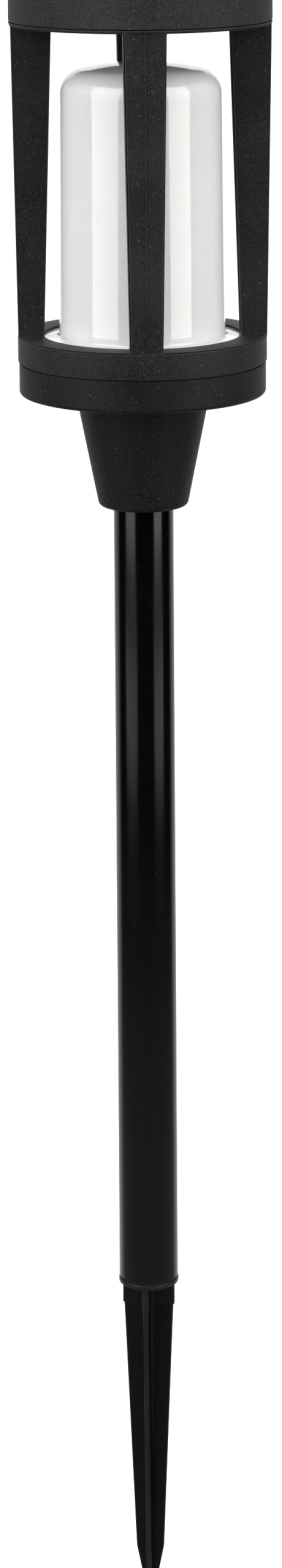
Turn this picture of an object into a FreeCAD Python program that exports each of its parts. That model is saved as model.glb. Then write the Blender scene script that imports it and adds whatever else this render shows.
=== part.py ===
import FreeCAD, Part
import math
import os
from FreeCAD import Vector

# Solar garden torch: a stake, a tube pole and a lantern head that pushes onto the pole.
# Millimetres, +Z up. The origin is on the axis at the ground line, the underside of the stake's collar.
# -Y is the front. The four ribs of the cage stand on +X, +Y, -X and -Y; the lead runs down the +Y rib.

# Fits
slip_fit = 0.3          # radial gap of a push fit or a sliding piece
near_fit = 0.05         # radial gap of a screw in its pilot, or of a sleeve on its former
screw_clearance = 0.2   # radial gap of a screw in a through hole

# Stake
stake_depth = 161.8         # ground line to tip
stake_point_length = 27.5   # the steep last part
shoulder_depth = 11.7
shoulder_inset = 1.85       # shoulder inside the collar
shoulder_web = 3.3
blade_step = 0.6            # blades inside the shoulder
blade_low_r = 6.6
blade_web = 2.5
blade_tip_r = 1.0
stake_core_r = 3.2
collar_lip = 0.25           # collar outside the pole
collar_h = 2.3
groove_h = 0.7              # the pole stands this much above the collar, on a smaller step
groove_depth = 0.6
plug_length = 36.0
plug_lead_in = 3.0
stake_turn = -10.6          # degrees about Z, as pushed together

# Pole
pole_r = 14.0
pole_wall = 1.2
pole_length = 423.0

# Base cup, with its neck and socket
socket_depth = 47.9
neck_step = 6.7             # foot of the neck outside the pole
neck_height = 53.2
neck_top_r = 31.3
neck_edge = 2.6
socket_wall = 2.2
shell_wall = 2.2
cup_r = 57.3
cup_height = 14.95
cup_edge = 2.0
spigot_height = 4.0
spigot_wall = 2.1
spigot_root = 4.0
web_t = 1.6
web_drop = 20.0             # the webs in the neck end this far below the cup

# Cage
ring_lip = 0.5              # ring outside the cup
ring_height = 13.05
ring_plate = 1.1
ring_skirt = 2.4
window_height = 144.0
ceiling = 2.0
rib_proud = 0.2             # rib foot outside the ring, and rib head inside the cap
rib_foot_depth = 12.0
rib_head_depth = 18.4
rib_foot_width = 15.0
rib_head_width = 19.6
rib_edge = 0.9
rib_wall = 2.2              # the ribs are hollow, open towards the lamp
strip_t = 1.6               # inner cover of a rib
strip_fit = 0.1

# Lead down the rear rib
lead_r = 1.3
lead_behind_strip = 3.0     # strip's back to the lead's centre
lead_bend = 4.0

# Cap and solar panel
cap_flare = 3.0             # cap outside the ring
cap_height = 22.0
cap_wall = 2.0
cap_edge = 5.0
cap_fall = 1.5              # the rim of the top slopes down this much
panel_r = 46.0
panel_tape_t = 0.5
panel_tape_width = 6.0
panel_board_t = 1.6
panel_cover_t = 1.2
cell_t = 0.3
cell_pitch = 10.2
cell_gap = 0.7
cell_count = 8
cell_margin = 3.5
lead_exit_r = 20.0          # where the lead leaves the panel, from the axis

# Diffuser
diffuser_foot_r = 38.6
diffuser_head_r = 37.5
diffuser_wall = 1.8
diffuser_gap = 17.5         # its crown to the cage's ceiling
diffuser_crown_r = 142.0
diffuser_corner_r = 12.0
flange_t = 2.0
flange_cover = 1.1          # how far the ring's plate covers the flange

# Seals and tray
seal_t = 1.2
tray_t = 2.5
tray_gap = 0.4              # tray edge to the ring's skirt

# Screws: pan head, plain shank
screw_r = 1.5
screw_head_r = 2.8
screw_head_h = 2.3
boss_gap = 0.1              # boss to the cup's spigot
flange_gap = 0.2            # boss to the diffuser's flange
screw_angles = (45, 135, 225, 315)
boss_r = 2.9
boss_hang = 8.9             # how far the cage's bosses reach below its plate
screw_grip = 8.0            # how far a base screw goes into the cage's boss
counterbore_depth = 5.0
counterbore_wall = 1.4
cap_screw_grip = 10.7

# Light column
core_r = 20.0
core_wall = 1.5
core_headroom = 26.1        # crown of the diffuser to the top of the core
core_flange_width = 7.0
core_flange_t = 2.0
core_screw_inset = 3.2      # core screws inside the flange's edge
core_screw_angles = (30, 150, 270)
small_screw_r = 1.1
small_head_r = 2.0
small_head_h = 1.4
small_screw_grip = 4.4      # how far a board screw goes into its post
flex_t = 0.3
flex_foot = 3.0             # flange to the flex
flex_head = 2.0             # flex to the top of the core
led_columns = 12
led_rows = 8
led_width = 3.5
led_height = 2.8
led_t = 0.9
led_margin = 7.0            # end of the flex to the first row

# Battery, a standard 18650 cell
cell_r = 9.15
cell_length = 64.2
nub_r = 2.9
nub_h = 0.9
cell_gap_round = 0.25
holder_wall = 2.0
holder_end = 2.0
contact_r = 6.0
contact_t = 0.4
spring_half = 5.4           # half the span of the leaf spring
spring_width = 5.0
spring_height = 4.0
wire_r = 0.6
wire_bend = 1.4
wire_inset = 3.1            # core's bore to the wires that pass down beside the holder
cell_lead_places = (2.4, 4.8)
lamp_lead_places = (-4.6, -3.0)
tab_half = 0.9

# Control board, along the rear of the cup. Places on it are (in from its outer edge, to the side).
board_gap = 7.6             # its outer edge to the cup's wall
board_depth = 26.0
board_half_width = 20.0
board_t = 1.6
board_height = 7.5          # its underside above the cup's floor
post_r = 2.4
post_places = ((12.9, 16.6), (3.3, 16.6), (12.9, -16.6), (3.3, -16.6))
connector_h = 6.0
connector_depth = 4.5
connector_place = 23.5
lead_socket_depth = 6.0
lead_socket_place = 11.5

# Button under the cup
button_place = 4.5          # in from the board's outer edge
button_r = 4.5
button_proud = 1.8
button_flange_r = 5.8
button_flange_t = 1.0
button_travel = 1.5
stem_r = 1.8
stem_clear = 0.3            # stem to the roof of the switch with the button pressed home
switch_size = 8.5
switch_height = 4.2
switch_roof = 0.4
bezel_r = 6.9
bezel_t = 0.6

# Radii and places worked out from the sizes above
collar_r = pole_r + collar_lip
shoulder_r = collar_r - shoulder_inset
blade_top_r = shoulder_r - blade_step
neck_r = pole_r + neck_step
cup_inner_r = cup_r - shell_wall
spigot_inner_r = cup_inner_r - spigot_wall
ring_r = cup_r + ring_lip
cap_r = ring_r + cap_flare
cap_inner_r = cap_r - cap_wall
screw_circle_r = spigot_inner_r - boss_gap - boss_r
flange_r = screw_circle_r - boss_r - flange_gap
ring_opening_r = flange_r - flange_cover
board_outer = cup_inner_r - board_gap
board_inner = board_outer - board_depth
connector_inner = board_outer - connector_place
lead_socket_outer = board_outer - lead_socket_place
button_place_r = board_outer - button_place
core_flange_r = core_r + core_flange_width
core_screw_r = core_flange_r - core_screw_inset
posts_at = [(board_outer - inward, side) for inward, side in post_places]
wire_drop = core_r - core_wall - wire_inset
flex_inner_r = core_r + near_fit
flex_outer_r = flex_inner_r + flex_t

# Levels worked out from the sizes above
pole_bottom = collar_h + groove_h
pole_top = pole_bottom + pole_length
pole_bore = pole_r - pole_wall
neck_bottom = pole_top - socket_depth
cup_bottom = neck_bottom + neck_height
cup_floor = cup_bottom + shell_wall
seam = cup_bottom + cup_height
ring_top = seam + ring_height
plate_under = ring_top - ring_plate
flange_under = plate_under - flange_t
tray_top = flange_under - seal_t
tray_under = tray_top - tray_t
ceiling_under = ring_top + window_height
ceiling_top = ceiling_under + ceiling
cap_top = ceiling_top + cap_height
recess_depth = panel_tape_t + panel_board_t + panel_cover_t
recess_floor = cap_top - recess_depth
panel_board_z = recess_floor + panel_tape_t
crown_z = ceiling_under - diffuser_gap
board_z = cup_floor + board_height
board_top = board_z + board_t
stem_top = board_z - switch_roof - stem_clear - button_travel
wire_z = board_top + connector_h / 2
core_z = tray_top
core_top = crown_z - core_headroom
flex_z = core_z + core_flange_t + flex_foot
flex_top = core_top - flex_head
boss_under = plate_under - boss_hang
rear = 90.0                 # the rib that carries the lead, and the side the board is on


def cylinder(radius, low, high, x=0.0, y=0.0):
    return Part.makeCylinder(radius, high - low, Vector(x, y, low))


def ring(outer, inner, low, high):
    return cylinder(outer, low, high).cut(cylinder(inner, low - 1, high + 1))


def block(x0, x1, y0, y1, z0, z1):
    return Part.makeBox(x1 - x0, y1 - y0, z1 - z0, Vector(x0, y0, z0))


def turned_about_z(shape, degrees):
    copy = shape.copy()
    copy.rotate(Vector(0, 0, 0), Vector(0, 0, 1), degrees)
    return copy


def at_angles(shape, angles):
    return [turned_about_z(shape, angle) for angle in angles]


def joined(first, others):
    return first.fuse(others).removeSplitter()


def less(shape, cutters):
    for cutter in cutters:
        shape = shape.cut(cutter)
    return shape


def outline(corners):
    """Closed wire through (r, z, fillet radius) corners in the XZ plane."""
    points = [Vector(r, 0, z) for r, z, _ in corners]
    edges = []
    starts, ends = [], []
    for i, (_, _, fillet) in enumerate(corners):
        here = points[i]
        back = (points[i - 1] - here).normalize()
        ahead = (points[(i + 1) % len(points)] - here).normalize()
        if fillet == 0:
            starts.append(here)
            ends.append(here)
            continue
        half = back.getAngle(ahead) / 2
        reach = fillet / math.tan(half)
        first, last = here + back * reach, here + ahead * reach
        centre = here + (back + ahead).normalize() * (fillet / math.sin(half))
        middle = centre + (here - centre).normalize() * fillet
        starts.append(first)
        ends.append(last)
        edges.append((i, Part.Arc(first, middle, last).toShape()))
    arcs = dict(edges)
    path = []
    for i in range(len(corners)):
        if i in arcs:
            path.append(arcs[i])
        path.append(Part.makeLine(ends[i], starts[(i + 1) % len(corners)]))
    return Part.Wire(path)


def turned(corners):
    return Part.Face(outline(corners)).revolve(Vector(0, 0, 0), Vector(0, 0, 1), 360)


def tapered_bar(low_z, low_box, high_z, high_box):
    """Straight bar along Z between two rectangles given as (x0, x1, y0, y1)."""
    wires = []
    for z, (x0, x1, y0, y1) in ((low_z, low_box), (high_z, high_box)):
        wires.append(Part.makePolygon([Vector(x0, y0, z), Vector(x1, y0, z), Vector(x1, y1, z),
                                       Vector(x0, y1, z), Vector(x0, y0, z)]))
    return Part.makeLoft(wires, True, True)


def wire_path(points, bend):
    """Straight runs joined by tangent arcs of one radius."""
    points = [Vector(*p) for p in points]
    path = []
    start = points[0]
    for i in range(1, len(points) - 1):
        here = points[i]
        back = (points[i - 1] - here).normalize()
        ahead = (points[i + 1] - here).normalize()
        half = back.getAngle(ahead) / 2
        first = here + back * (bend / math.tan(half))
        last = here + ahead * (bend / math.tan(half))
        centre = here + (back + ahead).normalize() * (bend / math.sin(half))
        path.append(Part.makeLine(start, first))
        path.append(Part.Arc(first, centre + (here - centre).normalize() * bend, last).toShape())
        start = last
    path.append(Part.makeLine(start, points[-1]))
    return Part.Wire(path)


def tube_along(points, bend, radius):
    path = wire_path(points, bend)
    direction = Vector(*points[1]) - Vector(*points[0])
    section = Part.Wire(Part.makeCircle(radius, Vector(*points[0]), direction))
    return path.makePipeShell([section], True, False)


def pan_screw(seat, tip, shank_r, head_r, head_h, x=0.0, y=0.0):
    """Screw with its shank up: the head hangs below the seat and has a cross recess."""
    head = cylinder(head_r, seat - head_h, seat, x, y)
    head = head.makeFillet(head_h * 0.4, [e for e in head.Edges if abs(e.BoundBox.ZMax - seat + head_h) < 0.01
                                          and e.Closed and e.BoundBox.ZLength < 0.01])
    arm = head_r * 0.55
    slot = head_r * 0.16
    deep = seat - head_h * 0.5
    cross = block(x - arm, x + arm, y - slot, y + slot, seat - head_h - 1, deep)
    cross = cross.fuse(block(x - slot, x + slot, y - arm, y + arm, seat - head_h - 1, deep))
    shank = cylinder(shank_r, seat, tip - shank_r, x, y)
    point = Part.makeCone(shank_r, shank_r * 0.3, shank_r, Vector(x, y, tip - shank_r))
    return joined(head.cut(cross), [shank, point])


def small_screw(x, y, seat, length):
    """Small pan screw with its shank down."""
    screw = pan_screw(0, length, small_screw_r, small_head_r, small_head_h)
    screw.rotate(Vector(0, 0, 0), Vector(1, 0, 0), 180)
    screw.translate(Vector(x, y, seat))
    return screw


def sunk_screw(face, tip, x):
    """Screw with its shank up and a 90 degree countersunk head whose top is flush with the face."""
    head_h = screw_head_r - screw_r
    head = Part.makeCone(screw_head_r, screw_r, head_h, Vector(x, 0, face))
    arm = screw_head_r * 0.6
    slot = screw_head_r * 0.14
    deep = face + head_h * 0.7
    cross = block(x - arm, x + arm, -slot, slot, face - 1, deep)
    cross = cross.fuse(block(x - slot, x + slot, -arm, arm, face - 1, deep))
    shank = cylinder(screw_r, face + head_h, tip - screw_r, x)
    point = Part.makeCone(screw_r, screw_r * 0.3, screw_r, Vector(x, 0, tip - screw_r))
    return joined(head.cut(cross), [shank, point])


def save(name, shapes):
    shape = Part.makeCompound(shapes) if isinstance(shapes, list) else shapes
    assert shape.isValid(), name
    shape.exportStep("parts/%s.step" % name)
    print("%-18s solids %3d  volume %9.1f" % (name, len(shape.Solids), shape.Volume))


def make_stake():
    low_point = stake_point_length - stake_depth
    side = [(blade_tip_r, -stake_depth), (blade_low_r, low_point), (blade_top_r, -shoulder_depth)]
    across = [Vector(x, 0, z) for x, z in side] + [Vector(-x, 0, z) for x, z in reversed(side)]
    blade = Part.Face(Part.makePolygon(across + across[:1]))
    blade = blade.extrude(Vector(0, blade_web, 0))
    blade.translate(Vector(0, -blade_web / 2, 0))
    shoulder = block(-shoulder_r, shoulder_r, -shoulder_web / 2, shoulder_web / 2, -shoulder_depth, 0)
    plug_r = pole_bore - slip_fit
    plug_top = pole_bottom + plug_length
    plug_side = [(plug_r, pole_bottom), (plug_r, plug_top - plug_lead_in),
                 (plug_r - plug_lead_in / 2, plug_top)]
    around = [Vector(x, 0, z) for x, z in plug_side] + [Vector(-x, 0, z) for x, z in reversed(plug_side)]
    plug = Part.Face(Part.makePolygon(around + around[:1])).extrude(Vector(0, blade_web, 0))
    plug.translate(Vector(0, -blade_web / 2, 0))
    webs = []
    for web in (blade, shoulder, plug):
        webs += at_angles(web, (0, 90))
    step_r = pole_r - groove_depth
    collar = turned([(0, 0, 0), (collar_r, 0, 0.3), (collar_r, collar_h, 0.5), (step_r, collar_h, 0),
                     (step_r, pole_bottom, 0), (0, pole_bottom, 0)])
    core = Part.makeCone(blade_tip_r * 0.6, stake_core_r, stake_depth, Vector(0, 0, -stake_depth))
    stake = joined(collar, webs + [core, cylinder(stake_core_r, 0, plug_top - plug_lead_in)])
    save("stake", turned_about_z(stake, stake_turn))


def make_pole():
    edge = 0.3
    save("pole", turned([(pole_bore, pole_bottom, 0), (pole_r, pole_bottom, edge),
                         (pole_r, pole_top, edge), (pole_bore, pole_top, 0)]))


def make_base_cup():
    socket_r = pole_r + slip_fit
    socket_out = socket_r + socket_wall
    spigot_top = seam + spigot_height
    slope = (neck_top_r - neck_r) / neck_height
    inside_low = neck_r - shell_wall + slope * shell_wall
    shell = turned([
        (0, pole_top, 0), (socket_r, pole_top, 0), (socket_r, neck_bottom, 0.8),
        (neck_r, neck_bottom, neck_edge), (neck_top_r, cup_bottom, 1.2), (cup_r, cup_bottom, cup_edge),
        (cup_r, seam, 0.3), (cup_inner_r, seam, 0), (cup_inner_r, spigot_top, 0),
        (spigot_inner_r, spigot_top, 0),
        (spigot_inner_r, seam - spigot_root, 0), (cup_inner_r, seam - spigot_root - spigot_wall, 0),
        (cup_inner_r, cup_floor, 1.0), (neck_top_r - shell_wall, cup_floor, 0),
        (inside_low, neck_bottom + shell_wall, 0), (socket_out, neck_bottom + shell_wall, 0),
        (socket_out, pole_top + socket_wall, 1.0), (0, pole_top + socket_wall, 0)])
    bore_top = cup_bottom + counterbore_depth
    counterbore_r = screw_head_r + 0.4
    pillar = cylinder(boss_r, cup_floor - 0.5, boss_under, screw_circle_r)
    sleeve = cylinder(counterbore_r + counterbore_wall, cup_floor - 0.5, bore_top + 2, screw_circle_r)
    through = cylinder(screw_r + screw_clearance, cup_bottom - 1, boss_under + 1, screw_circle_r)
    pocket = cylinder(counterbore_r, cup_bottom - 1, bore_top, screw_circle_r)
    # four webs tie the socket to the neck
    web = block(socket_out - 0.5, neck_top_r, -web_t / 2, web_t / 2, neck_bottom + 1, cup_bottom - web_drop)
    web = web.common(turned([(0, neck_bottom, 0), (inside_low + 0.2, neck_bottom, 0),
                             (neck_top_r - shell_wall + 0.2, cup_bottom, 0), (0, cup_bottom, 0)]))
    posts = [turned_about_z(cylinder(post_r, cup_floor - 0.5, board_z, x, y), rear) for x, y in posts_at]
    pilots = [cylinder(small_screw_r + near_fit, board_z - small_screw_grip - 0.5, board_z + 1, x, y)
              for x, y in posts_at]
    cup = joined(shell, at_angles(pillar, screw_angles) + at_angles(sleeve, screw_angles)
                 + at_angles(web, screw_angles) + posts)
    hole = cylinder(button_r + slip_fit, cup_bottom - 1, cup_floor + 1, button_place_r)
    cup = less(cup, at_angles(through, screw_angles) + at_angles(pocket, screw_angles)
               + [turned_about_z(p, rear) for p in pilots] + [turned_about_z(hole, rear)])
    save("base_cup", cup)


def make_base_screws():
    seat = cup_bottom + counterbore_depth
    screw = pan_screw(seat, boss_under + screw_grip, screw_r, screw_head_r, screw_head_h, screw_circle_r)
    save("base_screws", at_angles(screw, screw_angles))


def make_button():
    rest_low = cup_bottom - button_proud
    flange_low = cup_floor
    cap = turned([(0, rest_low, 0), (button_r, rest_low, 0.9), (button_r, flange_low, 0),
                  (button_flange_r, flange_low, 0), (button_flange_r, flange_low + button_flange_t, 0),
                  (stem_r, flange_low + button_flange_t, 0),
                  (stem_r, stem_top, 0.3), (0, stem_top, 0)])
    cap.translate(Vector(button_place_r, 0, 0))
    save("power_button", turned_about_z(cap, rear))
    bezel = ring(bezel_r, button_r + slip_fit, cup_bottom - bezel_t, cup_bottom)
    bezel.translate(Vector(button_place_r, 0, 0))
    save("button_bezel", turned_about_z(bezel, rear))


def make_switch():
    half = switch_size / 2
    low = board_z - switch_height
    body = block(button_place_r - half, button_place_r + half, -half, half, low, board_z)
    bore = cylinder(stem_r + slip_fit, low - 1, board_z - switch_roof, button_place_r)
    save("push_switch", turned_about_z(body.cut(bore), rear))


def on_board(inward, depth, side, width, height):
    """Block on the board's top: in from its outer edge, and to the side, both to the block's middle."""
    x, z = board_outer - inward, board_top
    return block(x - depth / 2, x + depth / 2, side - width / 2, side + width / 2, z, z + height)


def make_board():
    board = block(board_inner, board_outer, -board_half_width, board_half_width, board_z, board_top)
    holes = [cylinder(small_screw_r + screw_clearance, board_z - 1, board_top + 1, x, y) for x, y in posts_at]
    save("control_board", turned_about_z(less(board, holes), rear))
    parts = [on_board(20.0, 6.0, -13.5, 5.0, 1.6), on_board(20.5, 4.0, 14.0, 4.0, 1.2),
             on_board(7.5, 4.0, -12.0, 3.0, 1.4), on_board(1.9, 2.0, -8.0, 3.0, 0.8),
             on_board(1.9, 2.0, 8.0, 3.0, 0.8),
             cylinder(3.2, board_top, board_top + 4.6, board_outer - 9.0, 12.0)]
    save("board_parts", [turned_about_z(p, rear) for p in parts])
    blocks = [on_board(lead_socket_place + lead_socket_depth / 2, lead_socket_depth, 0, 7.0, connector_h)]
    for places in (cell_lead_places, lamp_lead_places):
        width = max(places) - min(places) + 3.2
        middle = (max(places) + min(places)) / 2
        blocks.append(on_board(connector_place - connector_depth / 2, connector_depth, middle, width,
                               connector_h))
    save("board_connectors", [turned_about_z(b, rear) for b in blocks])
    screws = [small_screw(x, y, board_top, board_t + small_screw_grip) for x, y in posts_at]
    save("board_screws", [turned_about_z(screw, rear) for screw in screws])


def make_tray_and_seals():
    tray_r = ring_r - ring_skirt - tray_gap
    save("cup_seal", ring(cup_inner_r, spigot_inner_r, seam + spigot_height, tray_under))
    save("diffuser_seal", ring(flange_r, diffuser_foot_r + 1, tray_top, flange_under))
    tray = turned([(0, tray_under, 0), (tray_r, tray_under, 0.4), (tray_r, tray_top, 0.4), (0, tray_top, 0)])
    rim = ring(diffuser_foot_r - diffuser_wall - 0.5, diffuser_foot_r - diffuser_wall - 2.0,
               tray_top - 0.5, tray_top + 3)
    tray = joined(tray, [rim])
    boss_hole = cylinder(boss_r + screw_clearance, tray_under - 1, tray_top + 1, screw_circle_r)
    lead_hole = cylinder(lead_r + 0.7, tray_under - 1, tray_top + 1, lead_x(tray_top))
    wire_hole = block(wire_drop - 2, wire_drop + 2, min(lamp_lead_places) - 1.5, max(cell_lead_places) + 1.5,
                      tray_under - 1, tray_top + 1)
    pilot = cylinder(small_screw_r + near_fit, tray_under - 1, tray_top + 1, core_screw_r)
    tray = less(tray, at_angles(boss_hole, screw_angles) + at_angles(pilot, core_screw_angles)
                + [turned_about_z(lead_hole, rear), turned_about_z(wire_hole, rear)])
    save("base_tray", tray)


def make_diffuser():
    """Shell of revolution: flange, slightly tapered wall, corner arc and shallow crown."""
    def skin(inset, foot_z):
        corner = diffuser_corner_r - inset
        crown = diffuser_crown_r - inset
        crown_centre = crown_z - diffuser_crown_r
        corner_x = diffuser_head_r - diffuser_corner_r
        corner_z = crown_centre + math.sqrt((crown - corner) ** 2 - corner_x ** 2)
        share = corner_x / (crown - corner)
        rise = (corner_z - crown_centre) / (crown - corner)
        top = Vector(0, 0, crown_z - inset)
        meet = Vector(share * crown, 0, crown_centre + rise * crown)
        half = (math.atan2(corner_z - crown_centre, corner_x)) / 2
        bend = Vector(corner_x + corner * math.cos(half), 0, corner_z + corner * math.sin(half))
        side = Vector(corner_x + corner, 0, corner_z)
        mid_angle = (math.pi / 2 + math.asin(rise)) / 2
        over = Vector(crown * math.cos(mid_angle), 0, crown_centre + crown * math.sin(mid_angle))
        foot = Vector(diffuser_foot_r - inset, 0, foot_z)
        return [Part.Arc(top, over, meet).toShape(), Part.Arc(meet, bend, side).toShape(),
                Part.makeLine(side, foot)], top, foot

    outer, outer_top, outer_foot = skin(0, plate_under)
    inner, inner_top, inner_foot = skin(diffuser_wall, flange_under)
    a, b = Vector(flange_r, 0, plate_under), Vector(flange_r, 0, flange_under)
    wire = Part.Wire(outer + [Part.makeLine(outer_foot, a), Part.makeLine(a, b), Part.makeLine(b, inner_foot)]
                     + list(reversed(inner)) + [Part.makeLine(inner_top, outer_top)])
    save("diffuser", Part.Face(wire).revolve(Vector(0, 0, 0), Vector(0, 0, 1), 360))


def rib_inner(z):
    foot = ring_r + rib_proud - rib_foot_depth
    head = cap_r - rib_proud - rib_head_depth
    return foot + (head - foot) * (z - ring_top) / window_height


def lead_x(z):
    return rib_inner(z) + strip_t + lead_behind_strip


def rib_hollow(z, width, outer):
    half = width / 2 - rib_wall
    return (rib_inner(z) - 1, outer - rib_wall, -half, half)


def strip_box(z, width):
    half = width / 2 - rib_wall - strip_fit
    return (rib_inner(z), rib_inner(z) + strip_t, -half, half)


def make_cage():
    skirt_in = ring_r - ring_skirt
    base = turned([(ring_opening_r, plate_under, 0), (skirt_in, plate_under, 0), (skirt_in, seam, 0.3),
                   (ring_r, seam, 0.3), (ring_r, ring_top, 0.6), (ring_opening_r, ring_top, 0.5)])
    lid = turned([(0, ceiling_under, 0), (cap_r, ceiling_under, 0.6), (cap_r, ceiling_top, 0.2),
                  (0, ceiling_top, 0)])
    rib = turned([(rib_inner(ring_top), ring_top, 0), (ring_r + rib_proud, ring_top, 0),
                  (cap_r - rib_proud, ceiling_under, 0), (rib_inner(ceiling_under), ceiling_under, 0)])
    far = cap_r * 2
    rib = rib.common(tapered_bar(ring_top, (10, far, -rib_foot_width / 2, rib_foot_width / 2),
                                 ceiling_under, (10, far, -rib_head_width / 2, rib_head_width / 2)))
    rib = rib.makeFillet(rib_edge, [e for e in rib.Edges if e.Length > window_height * 0.9])
    boss = cylinder(boss_r, boss_under, plate_under + 0.5, screw_circle_r)
    cage = joined(base, at_angles(rib, (0, 90, 180, 270)) + [lid] + at_angles(boss, screw_angles))
    pilot = cylinder(screw_r + near_fit, boss_under - 1, boss_under + screw_grip + 0.5, screw_circle_r)
    hole_r = screw_r + screw_clearance
    cap_hole = cylinder(hole_r, ceiling_under - 1, ceiling_top + 1, screw_circle_r)
    sink = Part.makeCone(screw_head_r, hole_r, screw_head_r - hole_r, Vector(screw_circle_r, 0, ceiling_under))
    hollow = tapered_bar(ring_top, rib_hollow(ring_top, rib_foot_width, ring_r + rib_proud),
                         ceiling_under, rib_hollow(ceiling_under, rib_head_width, cap_r - rib_proud))
    low_way = cylinder(lead_r + 0.7, plate_under - 1, ring_top + 1, lead_x(plate_under))
    high_way = cylinder(lead_r + 0.7, ceiling_under - 1, ceiling_top + 1, lead_x(ceiling_top))
    cage = less(cage, at_angles(pilot, screw_angles) + at_angles(cap_hole.fuse(sink), screw_angles)
                + at_angles(hollow, (0, 90, 180, 270))
                + [turned_about_z(low_way, rear), turned_about_z(high_way, rear)])
    save("cage", cage)
    strip = tapered_bar(ring_top, strip_box(ring_top, rib_foot_width),
                        ceiling_under, strip_box(ceiling_under, rib_head_width))
    for name, angle in (("right", 0), ("rear", 90), ("left", 180), ("front", 270)):
        save("rib_cover_" + name, turned_about_z(strip, angle))


def make_cap():
    recess_r = panel_r + slip_fit
    lip_in = cap_inner_r - 3.2
    lip_z = ceiling_top + seal_t
    shell = turned([
        (0, recess_floor, 0), (recess_r, recess_floor, 0), (recess_r, cap_top, 0.4),
        (cap_r, cap_top - cap_fall, cap_edge), (cap_r, ceiling_top, 0.3), (cap_inner_r, ceiling_top, 0),
        (cap_inner_r, lip_z, 0), (lip_in, lip_z, 0), (lip_in, lip_z + 3, 0), (cap_inner_r, lip_z + 6.2, 0),
        (cap_inner_r, cap_top - cap_fall - cap_wall, cap_edge - cap_wall),
        (recess_r + cap_wall, cap_top - cap_wall, 0), (recess_r + cap_wall, recess_floor - cap_wall, 0),
        (0, recess_floor - cap_wall, 0)])
    boss = cylinder(boss_r + 0.3, ceiling_top, cap_top - cap_wall - 0.2, screw_circle_r)
    shell = joined(shell, at_angles(boss, screw_angles))
    pilot = cylinder(screw_r + near_fit, ceiling_top - 1, ceiling_top + cap_screw_grip + 0.5, screw_circle_r)
    way = cylinder(lead_r + 0.7, recess_floor - cap_wall - 1, recess_floor + 1, lead_exit_r)
    save("cap", less(shell, at_angles(pilot, screw_angles) + [turned_about_z(way, rear)]))
    save("cap_seal", ring(cap_inner_r - 0.1, lip_in, ceiling_top, lip_z))
    screw = sunk_screw(ceiling_under, ceiling_top + cap_screw_grip, screw_circle_r)
    save("cap_screws", at_angles(screw, screw_angles))


def make_panel():
    save("panel_tape", ring(panel_r, panel_r - panel_tape_width, recess_floor, panel_board_z))
    cell_z = panel_board_z + panel_board_t
    save("panel_board", cylinder(panel_r, panel_board_z, cell_z))
    face = cylinder(panel_r - cell_margin, cell_z, cell_z + cell_t)
    cells = []
    for i in range(cell_count):
        x = (i - (cell_count - 1) / 2) * cell_pitch
        strip = block(x - cell_pitch / 2 + cell_gap / 2, x + cell_pitch / 2 - cell_gap / 2,
                      -panel_r, panel_r, cell_z, cell_z + cell_t)
        cells.append(strip.common(face).Solids[0])
    save("solar_cells", cells)
    cover = turned([(0, cell_z, 0), (panel_r, cell_z, 0), (panel_r, cell_z + panel_cover_t, 0.4),
                    (0, cell_z + panel_cover_t, 0)])
    save("panel_cover", less(cover, cells))


def make_panel_lead():
    turn_z = recess_floor - cap_wall - lead_bend * 2
    points = [(lead_exit_r, 0, panel_board_z), (lead_exit_r, 0, turn_z), (lead_x(turn_z), 0, turn_z),
              (lead_x(wire_z), 0, wire_z), (lead_socket_outer, 0, wire_z)]
    save("panel_lead", turned_about_z(tube_along(points, lead_bend, lead_r), rear))


def make_light_column():
    low_side, high_side = min(lamp_lead_places) - 1.2, max(lamp_lead_places) + 1.2
    foot = cylinder(core_flange_r, core_z, core_z + core_flange_t)
    core = joined(foot, [cylinder(core_r, core_z, core_top)])
    bore = cylinder(core_r - core_wall, core_z - 1, core_top - core_wall)
    hole = cylinder(small_screw_r + screw_clearance, core_z - 1, flex_z, core_screw_r)
    notch = block(wire_drop, core_r + 1, low_side, high_side, core_z + core_flange_t, flex_z)
    save("led_core", less(core, [bore, turned_about_z(notch, rear)] + at_angles(hole, core_screw_angles)))
    save("led_flex", ring(flex_outer_r, flex_inner_r, flex_z, flex_top))
    pitch = (flex_top - flex_z - 2 * led_margin) / (led_rows - 1)
    chips = []
    for row in range(led_rows):
        z = flex_z + led_margin + row * pitch
        chip = block(flex_outer_r, flex_outer_r + led_t, -led_width / 2, led_width / 2,
                     z - led_height / 2, z + led_height / 2)
        chips += at_angles(chip, [360.0 * k / led_columns for k in range(led_columns)])
    save("leds", chips)
    screw = small_screw(core_screw_r, 0, core_z + core_flange_t, core_flange_t + tray_t)
    save("core_screws", at_angles(screw, core_screw_angles))
    leads = []
    turn_z = core_z + core_flange_t + flex_foot / 2
    for side in lamp_lead_places:
        start = math.sqrt((flex_inner_r + flex_t / 2) ** 2 - side ** 2)
        points = [(start, side, flex_z), (start, side, turn_z), (wire_drop, side, turn_z),
                  (wire_drop, side, wire_z), (connector_inner, side, wire_z)]
        leads.append(tube_along(points, wire_bend, wire_r))
    save("led_leads", [turned_about_z(lead, rear) for lead in leads])


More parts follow.
